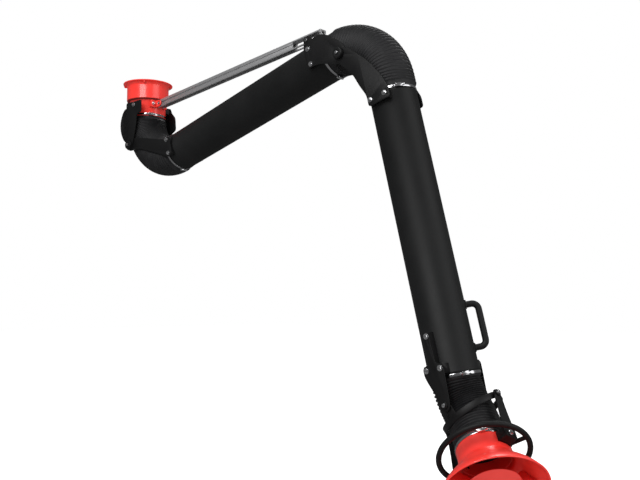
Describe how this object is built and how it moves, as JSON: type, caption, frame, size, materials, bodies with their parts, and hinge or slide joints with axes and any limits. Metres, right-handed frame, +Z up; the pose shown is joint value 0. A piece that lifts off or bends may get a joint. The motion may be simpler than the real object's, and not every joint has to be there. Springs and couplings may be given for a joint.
{
  "type": "fume extraction arm",
  "caption": "Jointed fume extraction arm: red swivel flange, black duct tubes with ribbed hose at the joints, aluminium stay rail, and a red suction hood on a gimbal with a ring handle.",
  "frame": {"origin": "centre of the mounting flange's top face, on the swivel axis", "axes": "+Z up along the swivel axis, +X the way the arm reaches out in the resting pose, +Y to its left"},
  "size_m": [2.0791, 0.4053, 1.6481],
  "materials": {
    "red_paint": "gloss",
    "slide_plastic": "matte",
    "black_paint": "satin",
    "black_steel": "satin",
    "zinc_steel": "satin",
    "aluminium": "satin",
    "hose_rubber": "matte"
  },
  "bodies": {
    "mount": {"mounting_flange": "red_paint", "flange_bolt_1": "red_paint", "flange_bolt_2": "red_paint", "flange_bolt_3": "red_paint", "flange_bolt_4": "red_paint", "slide_ring": "slide_plastic"},
    "swivel": {"swivel_collar": "red_paint", "collar_clamp": "zinc_steel", "fork_plate_front": "black_steel", "fork_plate_rear": "black_steel", "fork_bolt_front": "zinc_steel", "fork_bolt_rear": "zinc_steel", "rail_clevis": "red_paint", "clevis_bolts": "zinc_steel", "rail_hinge_pin": "zinc_steel", "base_hose": "hose_rubber"},
    "rail": {"stay_rail": "aluminium", "rail_adjuster": "zinc_steel"},
    "upper_arm": {"tube_1": "black_paint", "tube_1_base_clamp": "zinc_steel", "tube_1_elbow_clamp": "zinc_steel", "base_strap_front": "black_steel", "base_strap_rear": "black_steel", "base_strap_studs": "zinc_steel", "base_pivot_front": "black_steel", "base_pivot_rear": "black_steel", "elbow_plate_front": "black_steel", "elbow_plate_rear": "black_steel", "elbow_plate_studs": "zinc_steel", "rail_guide_bracket": "black_steel", "rail_guide_pin": "zinc_steel", "elbow_hose": "hose_rubber"},
    "lower_arm": {"tube_2": "black_paint", "tube_2_elbow_clamp": "zinc_steel", "tube_2_hood_clamp": "zinc_steel", "elbow_strap_front": "black_steel", "elbow_strap_rear": "black_steel", "elbow_strap_studs": "zinc_steel", "elbow_pivot_front": "black_steel", "elbow_pivot_rear": "black_steel", "bow_handle": "black_paint", "hood_bracket_front": "black_steel", "hood_bracket_rear": "black_steel", "hood_bracket_bolts_front": "zinc_steel", "hood_bracket_bolts_rear": "zinc_steel", "hood_hose_upper": "hose_rubber"},
    "gimbal": {"gimbal_ring": "black_steel", "gimbal_pivot_front": "black_steel", "gimbal_pivot_rear": "black_steel", "hood_hose_lower": "hose_rubber"},
    "hood": {"hood_shell": "red_paint", "hood_baffle": "red_paint", "hood_clamp": "zinc_steel", "hood_ear_upper": "black_steel", "hood_ear_lower": "black_steel", "hood_ear_bolt_upper": "zinc_steel", "hood_ear_bolt_lower": "zinc_steel", "hood_pivot_upper": "black_steel", "hood_pivot_lower": "black_steel", "ring_handle": "black_paint"}
  },
  "joints": [
    {"name": "base_swivel", "type": "hinge", "parent": "mount", "child": "swivel", "pos_m": [0, 0, 0], "axis": [0, 0, 1], "range_deg": [-170, 170]},
    {"name": "rail_hinge", "type": "hinge", "parent": "swivel", "child": "rail", "pos_m": [0.112, 0, -0.104], "axis": [0, -1, 0], "range_deg": [-18, 30]},
    {"name": "arm_lift", "type": "hinge", "parent": "swivel", "child": "upper_arm", "pos_m": [0, 0, -0.29], "axis": [0, -1, 0], "range_deg": [-15, 25], "deforming": ["base_hose"]},
    {"name": "elbow_fold", "type": "hinge", "parent": "upper_arm", "child": "lower_arm", "pos_m": [1.23352, 0, -0.1346], "axis": [0, 1, 0], "range_deg": [-45, 55], "deforming": ["elbow_hose"]},
    {"name": "hood_tilt", "type": "hinge", "parent": "lower_arm", "child": "gimbal", "pos_m": [1.6547, 0, -1.29953], "axis": [0, -1, 0], "range_deg": [-66, 14], "deforming": ["hood_hose_upper"]},
    {"name": "hood_turn", "type": "hinge", "parent": "gimbal", "child": "hood", "pos_m": [1.68363, 0, -1.334], "axis": [-0.766, 0, -0.6428], "range_deg": [-67, 5], "deforming": ["hood_hose_lower"]}
  ],
  "couplings": [
    {"joint": "rail_hinge", "follows": "arm_lift", "ratio": 1.163}
  ]
}
